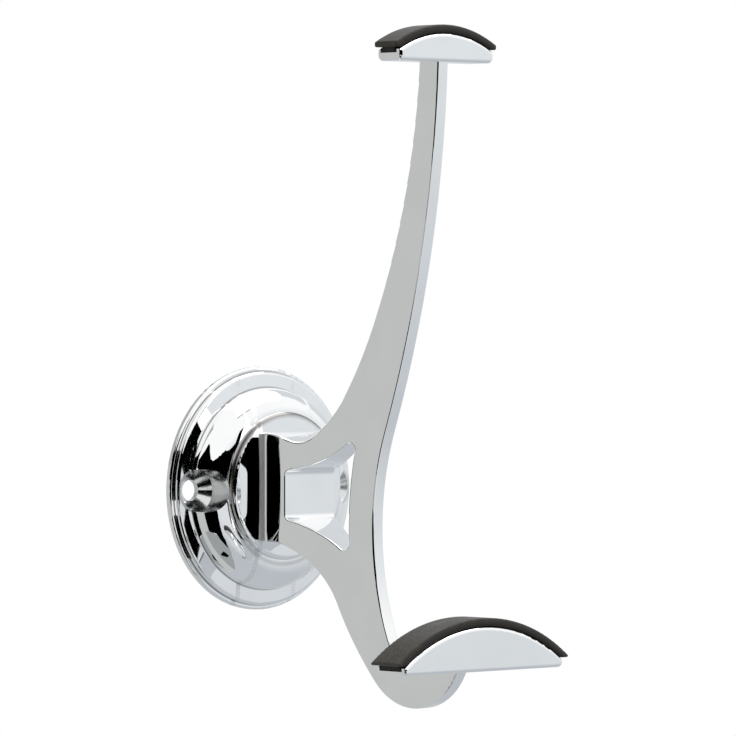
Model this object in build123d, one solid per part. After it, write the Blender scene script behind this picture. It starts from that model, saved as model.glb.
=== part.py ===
from build123d import *
import os

# Hat and coat hook for a wall: one plated casting with a rubber pad on each of its two heads.
# X is to the right, Y into the wall, Z up. The origin is on the wall, at the middle of the rosette.
# Sizes are in millimetres. A reach is a distance out from the wall, a height is along Z.

# Rosette: a rim, a step up to a flat ring, and a quarter-round dome
rosette_diameter = 52.0
rim_reach = 1.2
rim_ledge = 1.0
rim_rounding = 0.5
ring_reach = 2.5
ring_slope = 0.3
ring_width = 3.4
ring_rounding = 0.7
dome_height = 5.8
dome_width = 5.8

# Hollow back of the rosette
rim_wall = 2.6
shell_wall = 1.6

# Screw holes, on a level line through the middle of the rosette
screw_spacing = 40.6
screw_hole_diameter = 4.5
screw_land = 1.2
countersink_diameter = 9.0
countersink_depth = 2.0
screw_post_diameter = 10.6

# Boss in the middle of the rosette
boss_diameter = 31.6
boss_height = 1.2
boss_rise = 0.7
boss_rounding = 1.1
boss_crown = 0.5

# Arm: a flat plate that widens in hollow curves to a block on the boss, with a window behind its front rib
plate_thickness = 3.1
hollow_radius = 45.0
block_width = 14.8
block_reach = 16.4
block_blend = 6.0
root_radius = 1.8
root_flat = 0.2
edge_rounding = 0.4
root_depth = 1.2

# Back edge of the arm, from the upper head down to the boss
arm_top_setback = 0.1
arm_top_width = 5.65
arm_top_back_lean = 3.5
shoulder_reach = 29.45
shoulder_height = 19.7
neck_bend_reach = 21.5
neck_bend_height = 11.1
neck_dip_reach = 17.5
neck_dip_height = 10.65
neck_top_height = 12.2

# Front edge of the arm, from the upper head down into the throat of the lower hook
arm_top_front_lean = 2.0
front_bend_reach = 41.55
front_bend_height = 13.3
throat_reach = 42.3
throat_height = -30.7
throat_floor_reach = 51.5
throat_floor_height = -35.6
throat_end_height = -31.5

# Lower edge of the arm, from the boss down and round the nose
neck_low_height = -10.95
neck_low_lean = 0.5
block_low_reach = 13.5
block_low_height = -11.05
neck_turn_reach = 17.0
neck_turn_height = -12.0
hip_reach = 27.95
hip_height = -24.0
heel_reach = 38.05
heel_height = -39.6
nose_reach = 50.55
nose_height = -44.7
nose_lap = 3.1
head_root_depth = 1.0

# Window through the arm
window_back_wall = 6.7
window_back_top = 4.3
window_back_low = -5.9
window_front_top_reach = 33.4
window_front_top_height = 12.6
window_front_low_reach = 31.1
window_front_low_height = -13.9
window_top_bow = 1.6
window_front_bow = 1.15
window_low_bow = 0.95
window_corner = 1.3
window_rounding = 0.3

# Upper head
upper_head_reach = 58.6
upper_head_depth = 7.0
upper_head_width = 27.0
upper_head_bottom = 89.7
upper_head_height = 5.95
upper_head_end = 2.35
upper_groove_width = 3.8
upper_pad_overhang = 0.9

# Lower head
lower_head_reach = 69.9
lower_head_depth = 8.8
lower_head_width = 45.6
lower_head_bottom = -36.15
lower_head_height = 9.25
lower_head_end = 1.55
lower_groove_width = 5.6
lower_pad_overhang = 1.65

# Both heads, with a groove along each for its pad's stem, wider at the foot
head_corner = 1.1
head_rounding = 0.8
groove_depth = 1.8
groove_end_depth = 0.7
groove_foot_height = 0.7
groove_undercut = 0.5

# Rubber pads
pad_thickness = 1.7
pad_setback = 0.3
pad_tip_lift = 0.45
pad_tip_rounding = 0.5
pad_rounding = 0.35
pad_clearance = 0.1

# Sizes that follow from those above
rosette_radius = rosette_diameter / 2
step_radius = rosette_radius - rim_ledge
dome_radius = step_radius - ring_width
dome_foot_reach = ring_reach + ring_slope
dome_reach = dome_foot_reach + dome_height
dome_top_radius = dome_radius - dome_width
boss_reach = dome_reach + boss_height
boss_radius = boss_diameter / 2
half_plate = plate_thickness / 2
half_block = block_width / 2
half_root = half_block + root_radius + root_flat
upper_head_back = upper_head_reach - upper_head_depth
lower_head_back = lower_head_reach - lower_head_depth


def turned(radius, reach):
    """A point of a section that is turned about the Y axis."""
    return (radius, -reach)


def side(reach, height):
    """A point of an outline seen from the side, for a sketch that goes on the YZ plane."""
    return (-reach, height)


def turn(section):
    """The solid made by turning a section about the Y axis."""
    return revolve(section, Axis.Y, 360)


def front_solid(sketch, start, end):
    """A front-view sketch made solid from one reach to another."""
    return extrude(Plane.XZ.offset(start) * sketch, amount=end - start)


def side_solid(sketch, half_width):
    """A side-view sketch made solid to both sides of the middle plane."""
    return extrude(Plane.YZ * sketch, amount=half_width, both=True)


def at_screws(solid):
    """A solid made about the Y axis, repeated at the two screws."""
    return Pos(-screw_spacing / 2, 0, 0) * solid + Pos(screw_spacing / 2, 0, 0) * solid


def dome_section(radius, foot_reach, top_radius, top_reach):
    """Half section of a quarter-round dome with a flat middle, standing on the wall."""
    width = radius - top_radius
    height = top_reach - foot_reach
    quarter = EllipticalCenterArc(turned(top_radius, foot_reach), width, height, 270, arc_size=90)
    rest = Polyline(
        turned(radius, foot_reach),
        turned(radius, 0),
        turned(0, 0),
        turned(0, top_reach),
        turned(top_radius, top_reach),
    )
    return make_face(quarter + rest)


def rosette_body():
    """The rosette as a solid: rim, step, flat ring and dome."""
    rim = make_face(
        Polyline(
            turned(0, 0),
            turned(rosette_radius, 0),
            turned(rosette_radius, rim_reach),
            turned(step_radius, rim_reach),
            turned(step_radius, ring_reach),
            turned(dome_radius, dome_foot_reach),
            turned(0, dome_foot_reach),
            close=True,
        )
    )
    rim = fillet(rim.vertices().sort_by_distance(turned(rosette_radius, rim_reach))[0], rim_rounding)
    rim = fillet(rim.vertices().sort_by_distance(turned(step_radius, ring_reach))[0], ring_rounding)
    return turn(rim + dome_section(dome_radius, dome_foot_reach, dome_top_radius, dome_reach))


def rosette_hollow():
    """The hollow in the rosette's back, with a post left round each screw hole."""
    floor_reach = ring_reach - shell_wall
    rim_hollow = make_face(
        Polyline(
            turned(0, 0),
            turned(rosette_radius - rim_wall, 0),
            turned(rosette_radius - rim_wall, floor_reach),
            turned(0, floor_reach),
            close=True,
        )
    )
    dome_hollow = dome_section(
        dome_radius - shell_wall, floor_reach, dome_top_radius - shell_wall, dome_reach - shell_wall
    )
    post = front_solid(Circle(screw_post_diameter / 2), 0, dome_reach)
    return turn(rim_hollow + dome_hollow) - at_screws(post)


def screw_cuts():
    """The two countersunk screw holes, open out to the height of the boss."""
    cone_top = screw_land + countersink_depth
    section = make_face(
        Polyline(
            turned(0, 0),
            turned(screw_hole_diameter / 2, 0),
            turned(screw_hole_diameter / 2, screw_land),
            turned(countersink_diameter / 2, cone_top),
            turned(countersink_diameter / 2, boss_reach),
            turned(0, boss_reach),
            close=True,
        )
    )
    return at_screws(turn(section))


def boss():
    """The round boss, with a rounded edge and a slightly crowned face."""
    base_reach = dome_reach - shell_wall / 2
    rim = turned(boss_radius, boss_reach)
    crown_top = turned(0, boss_reach + boss_crown)
    crown = RadiusArc(rim, crown_top, (boss_radius**2 + boss_crown**2) / (2 * boss_crown))
    wall = Polyline(crown_top, turned(0, base_reach), turned(boss_radius, base_reach), rim)
    section = make_face(crown + wall)
    section = fillet(section.vertices().sort_by_distance(rim)[0], boss_rounding)
    return Pos(0, 0, boss_rise) * turn(section)


def tangent_chain(start, heading, *stops):
    """Arcs from a start point through each stop, each leaving in the direction the last one ended."""
    chain = Curve()
    point = start
    direction = heading
    for stop in stops:
        arc = TangentArc(point, stop, tangent=direction)
        chain += arc
        point = arc @ 1
        direction = arc % 1
    return chain


def arm_outline():
    """Side view of the arm, with its three ends inside the boss and the two heads."""
    root_reach = boss_reach - root_depth
    top_height = upper_head_bottom + head_root_depth
    top_back = side(upper_head_back + arm_top_setback, top_height)
    top_front = side(upper_head_back + arm_top_setback + arm_top_width, top_height)
    root_top = side(root_reach, neck_top_height)
    root_low = side(root_reach, neck_low_height)
    throat_end = side(lower_head_back + head_root_depth, throat_end_height)
    nose_end = side(lower_head_back + nose_lap, lower_head_bottom + nose_lap)
    down = Vector(0, -1)
    outward = Vector(-1, 0)
    back = tangent_chain(
        top_back,
        down.rotate(Axis.Z, arm_top_back_lean),
        side(shoulder_reach, shoulder_height),
        side(neck_bend_reach, neck_bend_height),
        side(neck_dip_reach, neck_dip_height),
        root_top,
    )
    front = tangent_chain(
        top_front,
        down.rotate(Axis.Z, arm_top_front_lean),
        side(front_bend_reach, front_bend_height),
        side(throat_reach, throat_height),
        side(throat_floor_reach, throat_floor_height),
        throat_end,
    )
    lower = tangent_chain(
        root_low,
        outward.rotate(Axis.Z, neck_low_lean),
        side(block_low_reach, block_low_height),
        side(neck_turn_reach, neck_turn_height),
        side(hip_reach, hip_height),
        side(heel_reach, heel_height),
        side(nose_reach, nose_height),
        nose_end,
    )
    ends = Line(top_back, top_front) + Line(root_top, root_low) + Line(throat_end, nose_end)
    return make_face(back + front + lower + ends)


def window_outline():
    """Side view of the window: four bowed sides with rounded corners."""
    back_reach = boss_reach + window_back_wall
    back_top = side(back_reach, window_back_top)
    back_low = side(back_reach, window_back_low)
    front_top = side(window_front_top_reach, window_front_top_height)
    front_low = side(window_front_low_reach, window_front_low_height)
    top = SagittaArc(back_top, front_top, window_top_bow)
    front = SagittaArc(front_top, front_low, window_front_bow)
    low = SagittaArc(front_low, back_low, window_low_bow)
    window = make_face(top + front + low + Line(back_low, back_top))
    return fillet(window.vertices(), window_corner)


def arm_plan(outline):
    """Top view of the arm: a block on the boss that narrows in a hollow curve to the plate."""
    root = (half_root, root_depth - boss_reach)
    face = (half_root, -boss_reach)
    block_start = (half_block, -boss_reach)
    block_end = (half_block, -block_reach)
    narrowing = half_block - half_plate
    hollow_length = (2 * hollow_radius * narrowing - narrowing**2) ** 0.5
    plate_start = (half_plate, -block_reach - hollow_length)
    tip = (half_plate, outline.bounding_box().min.X)
    hollow = RadiusArc(block_end, plate_start, -hollow_radius)
    right = Polyline(root, face, block_start, block_end) + hollow + Line(plate_start, tip)
    ends = Line(root, (-half_root, root[1])) + Line(tip, (-half_plate, tip[1]))
    plan = make_face(right + mirror(right, Plane.YZ) + ends)
    for corner, radius in ((block_start, root_radius), (block_end, block_blend)):
        for across in (corner[0], -corner[0]):
            plan = fillet(plan.vertices().sort_by_distance((across, corner[1]))[0], radius)
    return plan


def arm():
    """The arm with its block and window, and its long edges rounded."""
    outline = arm_outline()
    heights = outline.bounding_box()
    plan = Pos(0, 0, heights.min.Y) * arm_plan(outline)
    solid = side_solid(outline, half_root) & extrude(plan, amount=heights.size.Y)
    solid = fillet(solid.edges().filter_by(GeomType.LINE, reverse=True), edge_rounding)
    pierced = solid - side_solid(window_outline(), half_root)
    window_edges = new_edges(solid, combined=pierced).filter_by(Axis.X, reverse=True)
    return fillet(window_edges, window_rounding)


class Head:
    """The sizes of one head, with those that follow from them."""

    def __init__(self, reach, depth, width, bottom, height, end, groove_width, pad_overhang):
        self.front = reach
        self.back = reach - depth
        self.middle = reach - depth / 2
        self.width = width
        self.bottom = bottom
        self.height = height
        self.top = bottom + height
        self.end_top = bottom + end
        self.rise = height - end
        self.groove_width = groove_width
        self.pad_width = width + 2 * pad_overhang
        self.crown_radius = arc_radius(width, self.rise)
        self.floor_radius = arc_radius(width, self.rise - groove_depth + groove_end_depth)

    def crown(self, growth):
        """The circle that the crown is part of, grown by a distance, in a front view."""
        return Pos(0, self.top - self.crown_radius) * Circle(self.crown_radius + growth)

    def floor(self, growth):
        """The circle that the groove's floor is part of, grown by a distance, in a front view."""
        return Pos(0, self.top - groove_depth - self.floor_radius) * Circle(self.floor_radius + growth)


def arc_radius(chord, rise):
    """Radius of the arc over a chord with a given rise."""
    return ((chord / 2) ** 2 + rise**2) / (2 * rise)


def head_solid(head):
    """A crescent head: flat below, arched above, with short end walls."""
    left = (-head.width / 2, head.end_top)
    right = (head.width / 2, head.end_top)
    crown = SagittaArc(left, right, head.rise)
    walls = Polyline(right, (head.width / 2, head.bottom), (-head.width / 2, head.bottom), left)
    profile = make_face(crown + walls)
    profile = fillet(profile.vertices().group_by(Axis.Y)[0], head_corner)
    solid = front_solid(profile, head.back, head.front)
    faces = solid.faces().sort_by(Axis.Y)
    return fillet(faces[0].edges() + faces[-1].edges(), head_rounding)


def stem(head, roof, length, gap):
    """A stem with a wider foot along the head's groove, smaller than the groove by a gap all round."""
    span = Pos(0, head.top) * Rectangle(length, 2 * head.height)
    neck = (roof & span) - head.floor(gap)
    foot = (head.floor(groove_foot_height - gap) & span) - head.floor(gap)
    half_neck = head.groove_width / 2 - gap
    half_foot = half_neck + groove_undercut
    upright = front_solid(neck, head.middle - half_neck, head.middle + half_neck)
    return upright + front_solid(foot, head.middle - half_foot, head.middle + half_foot)


def groove(head):
    """The groove that the pad's stem slides into, open at both ends of the head."""
    return stem(head, head.crown(pad_thickness), 2 * head.width, 0)


def pad(head):
    """A rubber pad: a strap over the head's crown, longer than the head, and its stem."""
    strap_top = pad_clearance + pad_thickness
    tip_low = head.end_top + pad_tip_lift
    ring = head.crown(strap_top) - head.crown(pad_clearance)
    reach_of_tips = RectangleRounded(head.pad_width, 2 * head.height, pad_tip_rounding)
    sketch = ring & Pos(0, tip_low + head.height) * reach_of_tips
    strap = front_solid(sketch, head.back + pad_setback, head.front - pad_setback)
    outer = strap.faces().filter_by(GeomType.CYLINDER).sort_by(SortBy.AREA)[-1]
    strap = fillet(outer.edges().filter_by(GeomType.CIRCLE), pad_rounding)
    return strap + stem(head, head.crown(strap_top / 2), head.width, pad_clearance)


def casting(upper_head, lower_head):
    """The plated casting: rosette, boss, arm and both heads in one piece."""
    rosette = rosette_body() - rosette_hollow() + boss() - screw_cuts()
    heads = head_solid(upper_head) + head_solid(lower_head)
    return rosette + arm() + heads - groove(upper_head) - groove(lower_head)


upper = Head(
    upper_head_reach,
    upper_head_depth,
    upper_head_width,
    upper_head_bottom,
    upper_head_height,
    upper_head_end,
    upper_groove_width,
    upper_pad_overhang,
)
lower = Head(
    lower_head_reach,
    lower_head_depth,
    lower_head_width,
    lower_head_bottom,
    lower_head_height,
    lower_head_end,
    lower_groove_width,
    lower_pad_overhang,
)
nodes = {
    "hook_casting": casting(upper, lower),
    "upper_pad": pad(upper),
    "lower_pad": pad(lower),
}
os.makedirs("parts", exist_ok=True)
for name, solid in nodes.items():
    export_step(solid, f"parts/{name}.step")
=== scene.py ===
"""Coat hook: the finishes of the plated casting and its rubber pads, and a small studio to look at it in."""
import math
from typing import NamedTuple

import bpy
from bpy.props import FloatProperty, FloatVectorProperty, PointerProperty
from mathutils import Matrix, Vector


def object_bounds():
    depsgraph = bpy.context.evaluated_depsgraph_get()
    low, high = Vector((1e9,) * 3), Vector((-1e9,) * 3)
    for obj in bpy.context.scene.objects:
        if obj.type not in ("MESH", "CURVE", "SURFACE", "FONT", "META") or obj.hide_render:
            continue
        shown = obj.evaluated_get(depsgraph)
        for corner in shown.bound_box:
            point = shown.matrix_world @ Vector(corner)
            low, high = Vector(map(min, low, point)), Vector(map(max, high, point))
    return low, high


bl_info = {
    "name": "Coat hook",
    "version": (1, 0, 0),
    "blender": (4, 5, 0),
    "location": "View3D > Sidebar > Coat hook",
    "description": "Bright plating, rubber pads and a studio for a wall-mounted coat hook",
    "category": "Object",
}

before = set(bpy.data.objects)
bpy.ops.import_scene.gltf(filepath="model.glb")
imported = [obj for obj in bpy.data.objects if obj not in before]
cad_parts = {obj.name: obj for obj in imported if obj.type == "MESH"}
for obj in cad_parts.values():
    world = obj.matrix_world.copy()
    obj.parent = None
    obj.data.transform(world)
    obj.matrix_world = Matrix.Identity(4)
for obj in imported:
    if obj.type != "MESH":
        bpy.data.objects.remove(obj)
CAD_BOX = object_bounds()
CASTING = "hook_casting"
PADS = ("upper_pad", "lower_pad")

# The camera: its picture's and sensor's widths, and the nearest and farthest that it sees, in metres
IMAGE_PIXELS = 736
SENSOR_WIDTH_MM = 36.0
NEAREST_SEEN = 0.01
FARTHEST_SEEN = 50.0

# How many finer layers each pattern's noise has, and the part of the noise that is spread from 0 to 1
HAZE_DETAIL = 3.0
RIPPLE_DETAIL = 0.0
BLOOM_DETAIL = 4.0
GRAIN_DETAIL = 2.0
NOISE_LOW = 0.3
NOISE_HIGH = 0.7

# How many rays each point sends out to find the edges that look soft
EDGE_SAMPLES = 8

BLACK = (0.0, 0.0, 0.0)
WHITE = (1.0, 1.0, 1.0)


class Card(NamedTuple):
    """A card bent round the hook, as stations from left to right."""

    name: str
    stations: tuple


# The cards that the plating reflects, of which the flags are black. Each station is an azimuth and the
# elevations of the card's lower and upper edges there, in degrees. The upper flag's lower edge drops in
# three places, for the dark lines along the arm and in its window.
UPPER_FLAG = Card("upper_flag", (
    (-116, 20, 26), (-109, 20, 30), (-108, 7, 31), (-98, 7, 37), (-92, 7, 45), (-84, 7, 44), (-77, 7, 41),
    (-76, -22, 40), (-70, -22, 36), (-62, -22, 31), (-55, -21, 27), (-54, -8, 27), (-46, -8, 24),
    (-39, -8, 24), (-38, -17, 24), (-20, -16, 23), (-19, -8, 23), (-14, -8, 23), (-6, -8, 22),
    (2, -6, 18), (10, -4, 15), (18, -2, 13), (25, 0, 9),
))
LOWER_FLAG = Card("lower_flag", (
    (-79, -42, -24), (-70, -43, -23), (-58, -42, -21), (-46, -41, -19), (-34, -45, -17), (-20, -46, -16),
    (-19, -47, -36), (-14, -46, -37),
))
FOOT_FLAG = Card("foot_flag", (
    (-78, -70, -68), (-62, -70, -66), (-46, -69, -61), (-36, -68, -60), (-28, -64, -61),
))
PALE_CARD = Card("pale_card", ((-19, -42, -8), (24, -42, -8)))
HIGH_CARD = Card("high_card", ((-205, 14, 58), (-118, 14, 58)))
LEFT_CARD = Card("left_card", ((-190, -90, 16), (-58, -90, 16)))
RIGHT_CARD = Card("right_card", ((-12, -90, 26), (172, -90, 26)))
BACK_CARD = Card("back_card", ((88, -10, 46), (172, -10, 46)))
FRONT_CARD = Card("front_card", ((-100, -90, -42), (-10, -90, -42)))

# The elevations at which the two shaded cards have their colours, in degrees
PALE_CARD_STOPS = (-42, -37, -33, -26, -16)
RIGHT_CARD_STOPS = (-35, -22, -8, 8, 26)

# How finely a card is bent: columns of faces between two stations, and rows from edge to edge
CARD_COLUMNS = 12
CARD_ROWS = 24


class PlateFinish(bpy.types.PropertyGroup):
    """Colours and texture sizes of the bright plating."""

    bright: FloatVectorProperty(
        name="Bright tint", description="Colour of the cleanest plating",
        subtype="COLOR", min=0.0, max=1.0, default=(0.97, 0.975, 0.98),
    )
    dull: FloatVectorProperty(
        name="Dull tint", description="Colour of the plating under a light haze",
        subtype="COLOR", min=0.0, max=1.0, default=(0.94, 0.945, 0.95),
    )
    haze_size: FloatProperty(
        name="Haze size", description="Size of the hazy patches", unit="LENGTH", default=0.009,
    )
    clean_roughness: FloatProperty(
        name="Clean roughness", description="Roughness of the cleanest plating",
        subtype="FACTOR", min=0.0, max=1.0, default=0.015,
    )
    hazy_roughness: FloatProperty(
        name="Hazy roughness", description="Roughness of the plating under a light haze",
        subtype="FACTOR", min=0.0, max=1.0, default=0.035,
    )
    seat_roughness: FloatProperty(
        name="Screw seat roughness", description="Roughness of the unpolished countersinks",
        subtype="FACTOR", min=0.0, max=1.0, default=0.16,
    )
    seat_tint: FloatVectorProperty(
        name="Screw seat tint", description="Colour of the unpolished countersinks",
        subtype="COLOR", min=0.0, max=1.0, default=(0.74, 0.75, 0.75),
    )
    seat_spacing: FloatProperty(
        name="Screw seat spacing", description="From one countersink's middle to the other's",
        unit="LENGTH", default=0.0406,
    )
    seat_radius: FloatProperty(
        name="Screw seat radius", description="Radius of each countersink", unit="LENGTH", default=0.0045,
    )
    corner_roughness: FloatProperty(
        name="Corner roughness", description="Roughness in the inner corners at the root of the block",
        subtype="FACTOR", min=0.0, max=1.0, default=0.45,
    )
    corner_inner: FloatProperty(
        name="Corner's inner side", description="Where the corners begin, from the middle plane",
        unit="LENGTH", default=0.0074,
    )
    corner_outer: FloatProperty(
        name="Corner's outer side", description="Where the corners end, from the middle plane",
        unit="LENGTH", default=0.0086,
    )
    corner_reach: FloatProperty(
        name="Corner's reach", description="How far out from the wall the corners go",
        unit="LENGTH", default=0.0108,
    )
    # Painted shade: this colour darkens the fine grooves between the rosette's steps, where shade falls.
    seam_shade: FloatVectorProperty(
        name="Seam shade", description="Colour in the fine seams between the rosette's steps",
        subtype="COLOR", min=0.0, max=1.0, default=(0.06, 0.048, 0.04),
    )
    seam_roughness: FloatProperty(
        name="Seam roughness", description="Roughness in the fine seams between the rosette's steps",
        subtype="FACTOR", min=0.0, max=1.0, default=0.30,
    )
    boss_seam: FloatVectorProperty(
        name="Boss seam", description="Radius, reach from the wall and width of the seam round the boss",
        unit="LENGTH", default=(0.01595, 0.0093, 0.0011),
    )
    dome_seam: FloatVectorProperty(
        name="Dome seam", description="Radius, reach from the wall and width of the seam round the dome",
        unit="LENGTH", default=(0.0216, 0.0028, 0.0004),
    )
    rim_seam: FloatVectorProperty(
        name="Rim seam", description="Radius, reach from the wall and width of the seam inside the rim",
        unit="LENGTH", default=(0.0250, 0.0012, 0.0004),
    )
    boss_seam_strength: FloatProperty(
        name="Boss seam strength", description="How strong the seam round the boss is",
        subtype="FACTOR", min=0.0, max=1.0, default=1.0,
    )
    fine_seam_strength: FloatProperty(
        name="Fine seam strength", description="How strong the seams round the dome and inside the rim are",
        subtype="FACTOR", min=0.0, max=1.0, default=0.55,
    )
    ripple_size: FloatProperty(
        name="Ripple size", description="Width of the polished surface's shallow waves",
        unit="LENGTH", default=0.006,
    )
    ripple_height: FloatProperty(
        name="Ripple height", description="Height of the polished surface's shallow waves",
        unit="LENGTH", default=0.000004,
    )


class RubberFinish(bpy.types.PropertyGroup):
    """Colours and texture sizes of the rubber pads."""

    dark: FloatVectorProperty(
        name="Dark tint", description="Colour of the rubber where it is clean",
        subtype="COLOR", min=0.0, max=1.0, default=(0.041, 0.037, 0.030),
    )
    bloom: FloatVectorProperty(
        name="Bloom tint", description="Colour of the rubber under its pale bloom",
        subtype="COLOR", min=0.0, max=1.0, default=(0.068, 0.063, 0.053),
    )
    # Painted shade: this colour darkens the rubber towards the strap's underside, where shade falls.
    under: FloatVectorProperty(
        name="Under shade", description="Colour of the rubber towards the strap's underside",
        subtype="COLOR", min=0.0, max=1.0, default=(0.010, 0.008, 0.005),
    )
    bloom_size: FloatProperty(
        name="Bloom size", description="Size of the patches of bloom", unit="LENGTH", default=0.004,
    )
    clean_roughness: FloatProperty(
        name="Clean roughness", description="Roughness of the rubber where it is clean",
        subtype="FACTOR", min=0.0, max=1.0, default=0.36,
    )
    bloom_roughness: FloatProperty(
        name="Bloom roughness", description="Roughness of the rubber under its bloom",
        subtype="FACTOR", min=0.0, max=1.0, default=0.55,
    )
    shine: FloatProperty(
        name="Shine", description="How much the rubber mirrors",
        subtype="FACTOR", min=0.0, max=1.0, default=0.3,
    )
    strap_thickness: FloatProperty(
        name="Strap thickness", description="Thickness of each pad's strap", unit="LENGTH", default=0.0017,
    )
    upper_strap_radius: FloatProperty(
        name="Upper strap radius", description="Radius of the upper strap's outside",
        unit="LENGTH", default=0.02891,
    )
    lower_strap_radius: FloatProperty(
        name="Lower strap radius", description="Radius of the lower strap's outside",
        unit="LENGTH", default=0.0394,
    )
    grain_size: FloatProperty(
        name="Grain size", description="Width of the moulded grain", unit="LENGTH", default=0.00045,
    )
    grain_height: FloatProperty(
        name="Grain height", description="Height of the moulded grain", unit="LENGTH", default=0.000006,
    )
    edge_softness: FloatProperty(
        name="Edge softness", description="Radius that the moulded edges seem to have",
        unit="LENGTH", default=0.0009,
    )


class StudioSetup(bpy.types.PropertyGroup):
    """The camera's place, and the colours and places of the floor, cards and lamp."""

    azimuth: FloatProperty(
        name="Camera azimuth", description="Turn of the camera from straight in front",
        subtype="ANGLE", default=math.radians(-43.3),
    )
    elevation: FloatProperty(
        name="Camera elevation", description="Angle of the camera above the horizon",
        subtype="ANGLE", default=math.radians(0.75),
    )
    distance: FloatProperty(
        name="Camera distance", description="From the origin to the camera's plane",
        unit="LENGTH", default=1.286,
    )
    aim_right: FloatProperty(
        name="Aim to the right", description="Shift of the camera to its right",
        unit="LENGTH", default=0.02373,
    )
    aim_up: FloatProperty(
        name="Aim up", description="Shift of the camera upwards", unit="LENGTH", default=0.02574,
    )
    focal_pixels: FloatProperty(
        name="Focal length in pixels", description="Focal length measured in pixels of the picture",
        subtype="PIXEL", default=6000.0,
    )
    floor_drop: FloatProperty(
        name="Floor drop", description="From the hook's lowest point down to the floor",
        unit="LENGTH", default=0.35,
    )
    floor_size: FloatProperty(
        name="Floor size", description="Length of each side of the floor", unit="LENGTH", default=6.0,
    )
    floor_colour: FloatVectorProperty(
        name="Floor", description="Colour of the floor",
        subtype="COLOR", min=0.0, max=1.0, default=(0.80, 0.81, 0.83),
    )
    floor_roughness: FloatProperty(
        name="Floor roughness", description="Roughness of the floor",
        subtype="FACTOR", min=0.0, max=1.0, default=0.9,
    )
    floor_lift: FloatProperty(
        name="Floor lift", description="White that the camera sees on the floor beside its own colour",
        subtype="FACTOR", min=0.0, max=1.0, default=0.35,
    )
    left_card: FloatVectorProperty(
        name="Left card", description="Colour of the grey card on the left",
        subtype="COLOR", min=0.0, max=1.0, default=(0.525, 0.537, 0.525),
    )
    high_card: FloatVectorProperty(
        name="High card", description="Colour of the grey card high at the back",
        subtype="COLOR", min=0.0, max=1.0, default=(0.42, 0.43, 0.42),
    )
    right_card_low: FloatVectorProperty(
        name="Right card, low", description="Colour of the right card low down",
        subtype="COLOR", min=0.0, max=1.0, default=(0.488, 0.519, 0.550),
    )
    right_card_rising: FloatVectorProperty(
        name="Right card, rising", description="Colour of the right card between low and level",
        subtype="COLOR", min=0.0, max=1.0, default=(0.582, 0.609, 0.643),
    )
    right_card_level: FloatVectorProperty(
        name="Right card, level", description="Colour of the right card just below level",
        subtype="COLOR", min=0.0, max=1.0, default=(0.672, 0.700, 0.723),
    )
    right_card_high: FloatVectorProperty(
        name="Right card, high", description="Colour of the right card just above level",
        subtype="COLOR", min=0.0, max=1.0, default=(0.776, 0.808, 0.832),
    )
    pale_card_low: FloatVectorProperty(
        name="Pale card, low", description="Colour of the pale card near its lower edge",
        subtype="COLOR", min=0.0, max=1.0, default=(0.520, 0.540, 0.560),
    )
    pale_card_rising: FloatVectorProperty(
        name="Pale card, rising", description="Colour of the pale card between low and middle",
        subtype="COLOR", min=0.0, max=1.0, default=(0.625, 0.645, 0.665),
    )
    pale_card_middle: FloatVectorProperty(
        name="Pale card, middle", description="Colour of the pale card at its middle",
        subtype="COLOR", min=0.0, max=1.0, default=(0.680, 0.700, 0.720),
    )
    pale_card_high: FloatVectorProperty(
        name="Pale card, high", description="Colour of the pale card towards its upper edge",
        subtype="COLOR", min=0.0, max=1.0, default=(0.735, 0.750, 0.765),
    )
    front_card: FloatVectorProperty(
        name="Front card", description="Colour of the card low in front",
        subtype="COLOR", min=0.0, max=1.0, default=(0.330, 0.350, 0.355),
    )
    card_distance: FloatProperty(
        name="Card distance", description="From the origin to the outermost cards",
        unit="LENGTH", default=3.0,
    )
    middle_distance: FloatProperty(
        name="Middle card distance", description="From the origin to the cards in front of the outer ones",
        unit="LENGTH", default=2.8,
    )
    flag_distance: FloatProperty(
        name="Flag distance", description="From the origin to the black cards", unit="LENGTH", default=2.6,
    )
    ambient: FloatProperty(
        name="Ambient light", description="Strength of the soft light from all round",
        subtype="FACTOR", min=0.0, max=1.0, default=0.6,
    )
    lamp_power: FloatProperty(
        name="Softbox power", description="Power of the softbox above the hook", unit="POWER", default=3.0,
    )
    lamp_size: FloatProperty(
        name="Softbox size", description="Length of each side of the softbox", unit="LENGTH", default=0.7,
    )
    lamp_place: FloatVectorProperty(
        name="Softbox place", description="Where the middle of the softbox is",
        subtype="XYZ", unit="LENGTH", default=(0.3, -0.05, 0.7),
    )


class CoatHookSettings(bpy.types.PropertyGroup):
    """All the settings of the coat hook's looks."""

    plate: PointerProperty(name="Plating", description="The casting's finish", type=PlateFinish)
    rubber: PointerProperty(name="Rubber", description="The pads' finish", type=RubberFinish)
    studio: PointerProperty(name="Studio", description="What stands round the hook", type=StudioSetup)


def empty_tree(owner):
    """The node tree of a material or a world, with nothing in it."""
    owner.use_nodes = True
    owner.node_tree.nodes.clear()
    return owner.node_tree


def feed(tree, socket, value):
    """Gives a socket its value, or links another node's output to it."""
    if isinstance(value, bpy.types.NodeSocket):
        tree.links.new(value, socket)
    else:
        socket.default_value = value


def add_node(tree, kind, inputs=None, **settings):
    """A new node in a tree, with some of its settings, and values or other nodes' outputs for its inputs."""
    made = tree.nodes.new(kind)
    for name, value in settings.items():
        setattr(made, name, value)
    for name, value in (inputs or {}).items():
        feed(tree, made.inputs[name], value)
    return made


def calculate(tree, operation, *numbers):
    """The result of a Math node on numbers or other nodes' outputs."""
    return add_node(tree, "ShaderNodeMath", dict(enumerate(numbers)), operation=operation).outputs[0]


def split(tree, vector):
    """A vector's parts, as the outputs X, Y and Z."""
    return add_node(tree, "ShaderNodeSeparateXYZ", {"Vector": vector}).outputs


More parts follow.
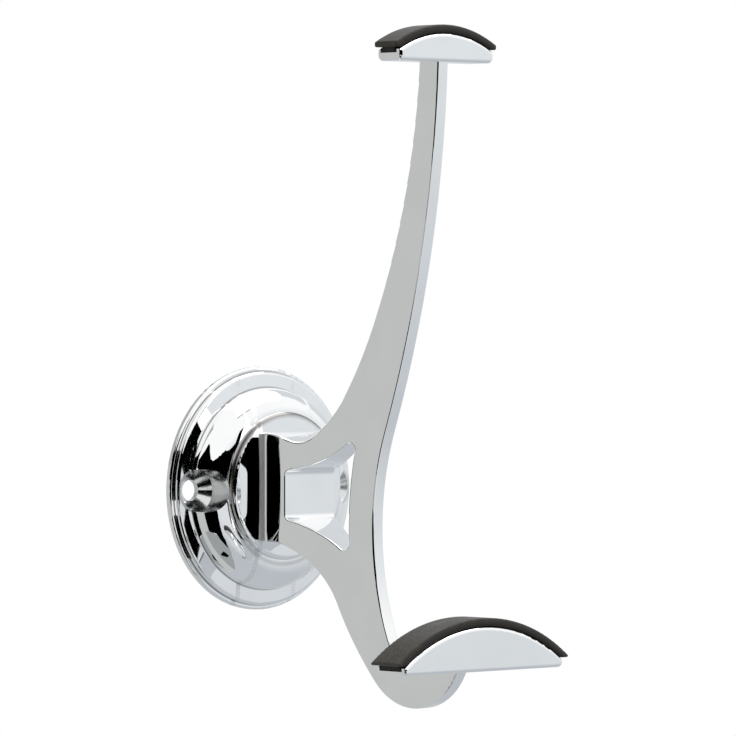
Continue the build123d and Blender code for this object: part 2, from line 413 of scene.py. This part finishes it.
def diagonal(tree, across, along):
    """The length of the diagonal of two offsets at right angles."""
    offset = add_node(tree, "ShaderNodeCombineXYZ", {"X": across, "Z": along})
    length = add_node(tree, "ShaderNodeVectorMath", {0: offset.outputs["Vector"]}, operation="LENGTH")
    return length.outputs["Value"]


def new_mask_group(name, *sizes):
    """An empty shader group from a place and some sizes to a mask, with its given sockets and the mask's."""
    tree = bpy.data.node_groups.new(name, "ShaderNodeTree")
    tree.interface.new_socket("Vector", in_out="INPUT", socket_type="NodeSocketVector")
    for size in sizes:
        tree.interface.new_socket(size, in_out="INPUT", socket_type="NodeSocketFloat")
    tree.interface.new_socket("Mask", in_out="OUTPUT", socket_type="NodeSocketFloat")
    return tree, tree.nodes.new("NodeGroupInput").outputs, tree.nodes.new("NodeGroupOutput").inputs["Mask"]


def shared_group(name, build):
    """A shader group that is used more than once, built when it is first asked for."""
    return bpy.data.node_groups.get(name) or build(name)


def place_mask(tree, group, sizes):
    """A mask group in a material with its sizes, reading the piece's own coordinates."""
    coordinates = add_node(tree, "ShaderNodeTexCoord")
    inputs = {"Vector": coordinates.outputs["Object"], **sizes}
    return add_node(tree, "ShaderNodeGroup", inputs, node_tree=group).outputs["Mask"]


def blotches_group(name):
    """Soft patches of a given size, as a mask from 0 to 1."""
    tree, given, mask = new_mask_group(name, "Size", "Detail")
    frequency = calculate(tree, "DIVIDE", 1.0, given["Size"])
    noise_inputs = {"Vector": given["Vector"], "Scale": frequency, "Detail": given["Detail"]}
    noise = add_node(tree, "ShaderNodeTexNoise", noise_inputs)
    spread_inputs = {"Value": noise.outputs["Fac"], "From Min": NOISE_LOW, "From Max": NOISE_HIGH}
    spread = add_node(tree, "ShaderNodeMapRange", spread_inputs, interpolation_type="SMOOTHSTEP")
    tree.links.new(spread.outputs["Result"], mask)
    return tree


def seats_group(name):
    """The inside of two round seats on a level line, as a mask of 0 or 1."""
    tree, given, mask = new_mask_group(name, "Spacing", "Radius")
    place = split(tree, given["Vector"])
    side = calculate(tree, "ABSOLUTE", place["X"])
    half_spacing = calculate(tree, "MULTIPLY", given["Spacing"], 0.5)
    across = calculate(tree, "SUBTRACT", side, half_spacing)
    inside = calculate(tree, "LESS_THAN", diagonal(tree, across, place["Z"]), given["Radius"])
    tree.links.new(inside, mask)
    return tree


def corners_group(name):
    """Two upright inner corners beside the middle plane, as a mask of 0 or 1."""
    tree, given, mask = new_mask_group(name, "Inner", "Outer", "Reach")
    place = split(tree, given["Vector"])
    side = calculate(tree, "ABSOLUTE", place["X"])
    reach = calculate(tree, "MULTIPLY", place["Y"], -1.0)
    beyond = calculate(tree, "GREATER_THAN", side, given["Inner"])
    within = calculate(tree, "LESS_THAN", side, given["Outer"])
    near = calculate(tree, "LESS_THAN", reach, given["Reach"])
    between = calculate(tree, "MULTIPLY", beyond, within)
    tree.links.new(calculate(tree, "MULTIPLY", between, near), mask)
    return tree


def seam_group(name):
    """A fine ring about the wall's normal, as a mask that fades from its strength to 0 over its width."""
    tree, given, mask = new_mask_group(name, "Radius", "Reach", "Width", "Strength")
    place = split(tree, given["Vector"])
    across = calculate(tree, "SUBTRACT", diagonal(tree, place["X"], place["Z"]), given["Radius"])
    out = calculate(tree, "ADD", place["Y"], given["Reach"])
    fade_inputs = {
        "Value": diagonal(tree, across, out),
        "From Max": given["Width"],
        "To Min": given["Strength"],
        "To Max": 0.0,
    }
    fade = add_node(tree, "ShaderNodeMapRange", fade_inputs, interpolation_type="SMOOTHSTEP")
    tree.links.new(fade.outputs["Result"], mask)
    return tree


def strap_group(name):
    """How far up a curved strap's thickness a point is, from 0 below to 1 on top."""
    tree, given, mask = new_mask_group(name, "Top", "Radius", "Thickness")
    place = split(tree, given["Vector"])
    below_top = calculate(tree, "SUBTRACT", place["Z"], given["Top"])
    above_centre = calculate(tree, "ADD", below_top, given["Radius"])
    height_inputs = {
        "Value": diagonal(tree, place["X"], above_centre),
        "From Min": calculate(tree, "SUBTRACT", given["Radius"], given["Thickness"]),
        "From Max": given["Radius"],
    }
    height = add_node(tree, "ShaderNodeMapRange", height_inputs, interpolation_type="SMOOTHSTEP")
    tree.links.new(height.outputs["Result"], mask)
    return tree


def place_blotches(tree, size, detail):
    """The shared blotches in a material, as a mask."""
    return place_mask(tree, shared_group("Blotches", blotches_group), {"Size": size, "Detail": detail})


def place_seats(tree, finish):
    """The inside of both screw seats in a material, as a mask."""
    sizes = {"Spacing": finish.seat_spacing, "Radius": finish.seat_radius}
    return place_mask(tree, seats_group("Screw seats"), sizes)


def place_corners(tree, finish):
    """The inner corners at the root of the block in a material, as a mask."""
    sizes = {"Inner": finish.corner_inner, "Outer": finish.corner_outer, "Reach": finish.corner_reach}
    return place_mask(tree, corners_group("Inner corners"), sizes)


def place_seams(tree, finish):
    """The rosette's three seams in a material, as one mask."""
    seams = (
        (finish.boss_seam, finish.boss_seam_strength),
        (finish.dome_seam, finish.fine_seam_strength),
        (finish.rim_seam, finish.fine_seam_strength),
    )
    mask = 0.0
    for (radius, reach, width), strength in seams:
        sizes = {"Radius": radius, "Reach": reach, "Width": width, "Strength": strength}
        ring = place_mask(tree, shared_group("Seam ring", seam_group), sizes)
        mask = calculate(tree, "MAXIMUM", mask, ring)
    return mask


def place_strap(tree, top, radius, thickness):
    """The shared strap height in a material, as a mask."""
    sizes = {"Top": top, "Radius": radius, "Thickness": thickness}
    return place_mask(tree, shared_group("Strap height", strap_group), sizes)


def mix_colours(tree, mask, low, high):
    """A colour that goes from one tint to another with a mask. A tint is a colour or a node's output."""
    mix = add_node(tree, "ShaderNodeMix", {"Factor": mask}, data_type="RGBA")
    colour_inputs = [socket for socket in mix.inputs if socket.type == "RGBA"]
    for socket, tint in zip(colour_inputs, (low, high)):
        feed(tree, socket, tint if isinstance(tint, bpy.types.NodeSocket) else (*tint, 1.0))
    return next(socket for socket in mix.outputs if socket.type == "RGBA")


def mix_values(tree, mask, low, high):
    """A value that goes from one limit to another with a mask."""
    mix = add_node(tree, "ShaderNodeMapRange", {"Value": mask, "To Min": low, "To Max": high})
    return mix.outputs["Result"]


def rougher(tree, roughness, mask, value):
    """A roughness that goes up to a value where a mask says so."""
    return calculate(tree, "MAXIMUM", roughness, mix_values(tree, mask, 0.0, value))


def bump(tree, shader, mask, height):
    """A bump of a given height on a shader, from a mask."""
    bumps = add_node(tree, "ShaderNodeBump", {"Strength": 1.0, "Distance": height, "Height": mask})
    tree.links.new(bumps.outputs["Normal"], shader.inputs["Normal"])
    return bumps


def soften_edges(tree, bumps, radius):
    """Edges that look rounded to a radius under a bump."""
    bevel = add_node(tree, "ShaderNodeBevel", {"Radius": radius}, samples=EDGE_SAMPLES)
    tree.links.new(bevel.outputs["Normal"], bumps.inputs["Normal"])


def new_material(name):
    """A node material with only a Principled shader on its output."""
    material = bpy.data.materials.new(name)
    tree = empty_tree(material)
    shader = add_node(tree, "ShaderNodeBsdfPrincipled")
    add_node(tree, "ShaderNodeOutputMaterial", {"Surface": shader.outputs["BSDF"]})
    return material, tree, shader


def plate_material(finish):
    """Bright plating: a mirror with hazy patches, painted shade in the seams, dull seats and corners, and
    shallow waves.
    """
    material, tree, shader = new_material("bright_plate_finish")
    haze = place_blotches(tree, finish.haze_size, HAZE_DETAIL)
    seams = place_seams(tree, finish)
    seats = place_seats(tree, finish)
    shader.inputs["Metallic"].default_value = 1.0
    tint = mix_colours(tree, haze, finish.bright, finish.dull)
    # Painted shade: the seam rings darken the colour in the grooves round the boss, the dome and inside the
    # rim.
    tint = mix_colours(tree, seams, tint, finish.seam_shade)
    tint = mix_colours(tree, seats, tint, finish.seat_tint)
    tree.links.new(tint, shader.inputs["Base Color"])
    roughness = mix_values(tree, haze, finish.clean_roughness, finish.hazy_roughness)
    roughness = rougher(tree, roughness, seams, finish.seam_roughness)
    roughness = rougher(tree, roughness, seats, finish.seat_roughness)
    roughness = rougher(tree, roughness, place_corners(tree, finish), finish.corner_roughness)
    tree.links.new(roughness, shader.inputs["Roughness"])
    bump(tree, shader, place_blotches(tree, finish.ripple_size, RIPPLE_DETAIL), finish.ripple_height)
    return material


def rubber_material(finish, pad, radius):
    """Moulded rubber: dark, with painted shade darker low on the strap, pale bloom, a fine grain and soft
    edges.
    """
    material, tree, shader = new_material(pad + "_rubber_finish")
    top = max(corner[2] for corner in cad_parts[pad].bound_box)
    height = place_strap(tree, top, radius, finish.strap_thickness)
    bloom = place_blotches(tree, finish.bloom_size, BLOOM_DETAIL)
    shader.inputs["Specular IOR Level"].default_value = finish.shine
    tint = mix_colours(tree, bloom, finish.dark, finish.bloom)
    # Painted shade: the rubber gets darker lower down the strap's thickness, towards its underside.
    tint = mix_colours(tree, height, finish.under, tint)
    tree.links.new(tint, shader.inputs["Base Color"])
    roughness = mix_values(tree, bloom, finish.clean_roughness, finish.bloom_roughness)
    tree.links.new(roughness, shader.inputs["Roughness"])
    grain = place_blotches(tree, finish.grain_size, GRAIN_DETAIL)
    soften_edges(tree, bump(tree, shader, grain, finish.grain_height), finish.edge_softness)
    return material


def dress(node_name, material):
    """Gives a CAD node its finish in place of its plain material."""
    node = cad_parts[node_name]
    for slot in node.material_slots:
        slot.material = material


def direction(azimuth, elevation):
    """The unit vector from the origin at an azimuth and an elevation, in radians."""
    level = math.cos(elevation)
    return Vector((math.sin(azimuth) * level, -math.cos(azimuth) * level, math.sin(elevation)))


def glow_material(name, stops):
    """A card that looks the same from everywhere, with its colours set by elevation in degrees."""
    material = bpy.data.materials.new(name)
    tree = empty_tree(material)
    place = add_node(tree, "ShaderNodeTexCoord").outputs["Object"]
    outward = add_node(tree, "ShaderNodeVectorMath", {0: place}, operation="NORMALIZE")
    rise = split(tree, outward.outputs["Vector"])["Z"]
    height = add_node(tree, "ShaderNodeMapRange", {"Value": rise, "From Min": -1.0, "From Max": 1.0})
    ramp = add_node(tree, "ShaderNodeValToRGB", {"Fac": height.outputs["Result"]})
    elements = ramp.color_ramp.elements
    # A new ramp has two stops, and one is enough to start from
    elements.remove(elements[1])
    for number, (elevation, colour) in enumerate(stops):
        position = (1.0 + math.sin(math.radians(elevation))) / 2
        stop = elements[0] if number == 0 else elements.new(position)
        stop.position = position
        stop.color = (*colour, 1.0)
    glow = add_node(tree, "ShaderNodeEmission", {"Color": ramp.outputs["Color"], "Strength": 1.0})
    add_node(tree, "ShaderNodeOutputMaterial", {"Surface": glow.outputs["Emission"]})
    return material


def stage_mesh(name, vertices, faces, material):
    """A stage object made from vertices and faces."""
    mesh = bpy.data.meshes.new(name)
    mesh.from_pydata(vertices, [], faces)
    mesh.materials.append(material)
    made = bpy.data.objects.new(name, mesh)
    bpy.context.scene.collection.objects.link(made)
    return made


def curved_card(card, distance, stops):
    """A card bent round the hook, seen only in the hook's reflections."""
    steps = list(card.stations[:1])
    for first, second in zip(card.stations, card.stations[1:]):
        for column in range(1, CARD_COLUMNS + 1):
            across = column / CARD_COLUMNS
            steps.append(tuple(a + (b - a) * across for a, b in zip(first, second)))
    vertices = []
    for azimuth, low, high in steps:
        for row in range(CARD_ROWS + 1):
            elevation = low + (high - low) * row / CARD_ROWS
            vertices.append(direction(math.radians(azimuth), math.radians(elevation)) * distance)
    faces = []
    for step in range(len(steps) - 1):
        for row in range(CARD_ROWS):
            corner = step * (CARD_ROWS + 1) + row
            beside = corner + CARD_ROWS + 1
            faces.append((corner, beside, beside + 1, corner + 1))
    made = stage_mesh(card.name, vertices, faces, glow_material(card.name, stops))
    made.visible_camera = False
    made.visible_diffuse = False
    made.visible_shadow = False


def make_floor(studio):
    """A wide pale floor below the hook."""
    material, tree, shader = new_material("studio_floor")
    shader.inputs["Base Color"].default_value = (*studio.floor_colour, 1.0)
    shader.inputs["Roughness"].default_value = studio.floor_roughness
    shader.inputs["Emission Color"].default_value = (*WHITE, 1.0)
    rays = add_node(tree, "ShaderNodeLightPath")
    lift = calculate(tree, "MULTIPLY", rays.outputs["Is Camera Ray"], studio.floor_lift)
    tree.links.new(lift, shader.inputs["Emission Strength"])
    height = CAD_BOX[0].z - studio.floor_drop
    half = studio.floor_size / 2
    corners = [(-half, -half, height), (half, -half, height), (half, half, height), (-half, half, height)]
    made = stage_mesh("floor", corners, [(0, 1, 2, 3)], material)
    made.visible_glossy = False


def make_cards(studio):
    """The black and pale cards that the plating reflects."""
    pale_colours = (
        studio.right_card_low,
        studio.pale_card_low,
        studio.pale_card_rising,
        studio.pale_card_middle,
        studio.pale_card_high,
    )
    right_colours = (
        studio.right_card_low,
        studio.right_card_rising,
        studio.right_card_level,
        studio.right_card_high,
        WHITE,
    )
    for flag in (UPPER_FLAG, LOWER_FLAG, FOOT_FLAG):
        curved_card(flag, studio.flag_distance, [(0, BLACK)])
    curved_card(PALE_CARD, studio.middle_distance, zip(PALE_CARD_STOPS, pale_colours))
    curved_card(HIGH_CARD, studio.middle_distance, [(0, studio.high_card)])
    curved_card(LEFT_CARD, studio.card_distance, [(0, studio.left_card)])
    curved_card(RIGHT_CARD, studio.card_distance, zip(RIGHT_CARD_STOPS, right_colours))
    curved_card(BACK_CARD, studio.middle_distance, [(0, studio.right_card_level)])
    curved_card(FRONT_CARD, studio.middle_distance, [(0, studio.front_card)])


def make_world(studio):
    """White all round for the camera and for reflections, and a softer light on what is matt."""
    world = bpy.data.worlds.new("studio_world")
    bpy.context.scene.world = world
    tree = empty_tree(world)
    rays = add_node(tree, "ShaderNodeLightPath").outputs
    seen = calculate(tree, "MAXIMUM", rays["Is Camera Ray"], rays["Is Glossy Ray"])
    seen = calculate(tree, "MAXIMUM", seen, rays["Is Transmission Ray"])
    strength = mix_values(tree, seen, studio.ambient, 1.0)
    background = add_node(tree, "ShaderNodeBackground", {"Color": (*WHITE, 1.0), "Strength": strength})
    add_node(tree, "ShaderNodeOutputWorld", {"Surface": background.outputs["Background"]})


def make_lamp(studio):
    """One large softbox above the hook."""
    lamp = bpy.data.lights.new("softbox", "AREA")
    lamp.shape = "RECTANGLE"
    lamp.size = studio.lamp_size
    lamp.size_y = studio.lamp_size
    lamp.energy = studio.lamp_power
    made = bpy.data.objects.new("softbox", lamp)
    made.location = studio.lamp_place
    made.visible_camera = False
    bpy.context.scene.collection.objects.link(made)


def make_camera(studio):
    """The camera at the photograph's viewing angle."""
    back = direction(studio.azimuth, studio.elevation)
    right = Vector((math.cos(studio.azimuth), math.sin(studio.azimuth), 0.0))
    up = back.cross(right)
    lens = bpy.data.cameras.new("camera")
    lens.sensor_width = SENSOR_WIDTH_MM
    lens.lens = studio.focal_pixels / IMAGE_PIXELS * SENSOR_WIDTH_MM
    lens.clip_start = NEAREST_SEEN
    lens.clip_end = FARTHEST_SEEN
    made = bpy.data.objects.new("camera", lens)
    eye = back * studio.distance + right * studio.aim_right + up * studio.aim_up
    turn = Matrix((right, up, back)).transposed().to_4x4()
    made.matrix_world = Matrix.Translation(eye) @ turn
    bpy.context.scene.collection.objects.link(made)
    bpy.context.scene.camera = made


class COATHOOK_OT_plate_casting(bpy.types.Operator):
    """Give the casting its bright plating"""

    bl_idname = "coat_hook.plate_casting"
    bl_label = "Plate the casting"

    def execute(self, context):
        dress(CASTING, plate_material(context.scene.coat_hook.plate))
        return {"FINISHED"}


class COATHOOK_OT_finish_pads(bpy.types.Operator):
    """Give both pads their moulded rubber"""

    bl_idname = "coat_hook.finish_pads"
    bl_label = "Finish the pads"

    def execute(self, context):
        finish = context.scene.coat_hook.rubber
        for pad, radius in zip(PADS, (finish.upper_strap_radius, finish.lower_strap_radius)):
            dress(pad, rubber_material(finish, pad, radius))
        return {"FINISHED"}


class COATHOOK_OT_set_studio(bpy.types.Operator):
    """Set up the floor, cards, light and camera"""

    bl_idname = "coat_hook.set_studio"
    bl_label = "Set the studio"

    def execute(self, context):
        studio = context.scene.coat_hook.studio
        context.scene.view_settings.view_transform = "Standard"
        make_world(studio)
        make_floor(studio)
        make_cards(studio)
        make_lamp(studio)
        make_camera(studio)
        return {"FINISHED"}


class COATHOOK_PT_sidebar(bpy.types.Panel):
    """The coat hook's finishes and studio"""

    bl_idname = "COATHOOK_PT_sidebar"
    bl_label = "Coat hook"
    bl_space_type = "VIEW_3D"
    bl_region_type = "UI"
    bl_category = "Coat hook"

    def draw(self, context):
        settings = context.scene.coat_hook
        for group, operator in (
            (settings.plate, COATHOOK_OT_plate_casting),
            (settings.rubber, COATHOOK_OT_finish_pads),
            (settings.studio, COATHOOK_OT_set_studio),
        ):
            box = self.layout.box()
            for name in group.bl_rna.properties.keys():
                if name not in ("rna_type", "name"):
                    box.prop(group, name)
            box.operator(operator.bl_idname)


CLASSES = (
    PlateFinish,
    RubberFinish,
    StudioSetup,
    CoatHookSettings,
    COATHOOK_OT_plate_casting,
    COATHOOK_OT_finish_pads,
    COATHOOK_OT_set_studio,
    COATHOOK_PT_sidebar,
)


def register():
    """Registers the classes and the scene's settings."""
    for kind in CLASSES:
        bpy.utils.register_class(kind)
    bpy.types.Scene.coat_hook = PointerProperty(type=CoatHookSettings)


def unregister():
    """Removes the scene's settings and the classes."""
    del bpy.types.Scene.coat_hook
    for kind in reversed(CLASSES):
        bpy.utils.unregister_class(kind)


def main():
    """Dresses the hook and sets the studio."""
    register()
    bpy.ops.coat_hook.plate_casting()
    bpy.ops.coat_hook.finish_pads()
    bpy.ops.coat_hook.set_studio()


if __name__ == "__main__":
    main()
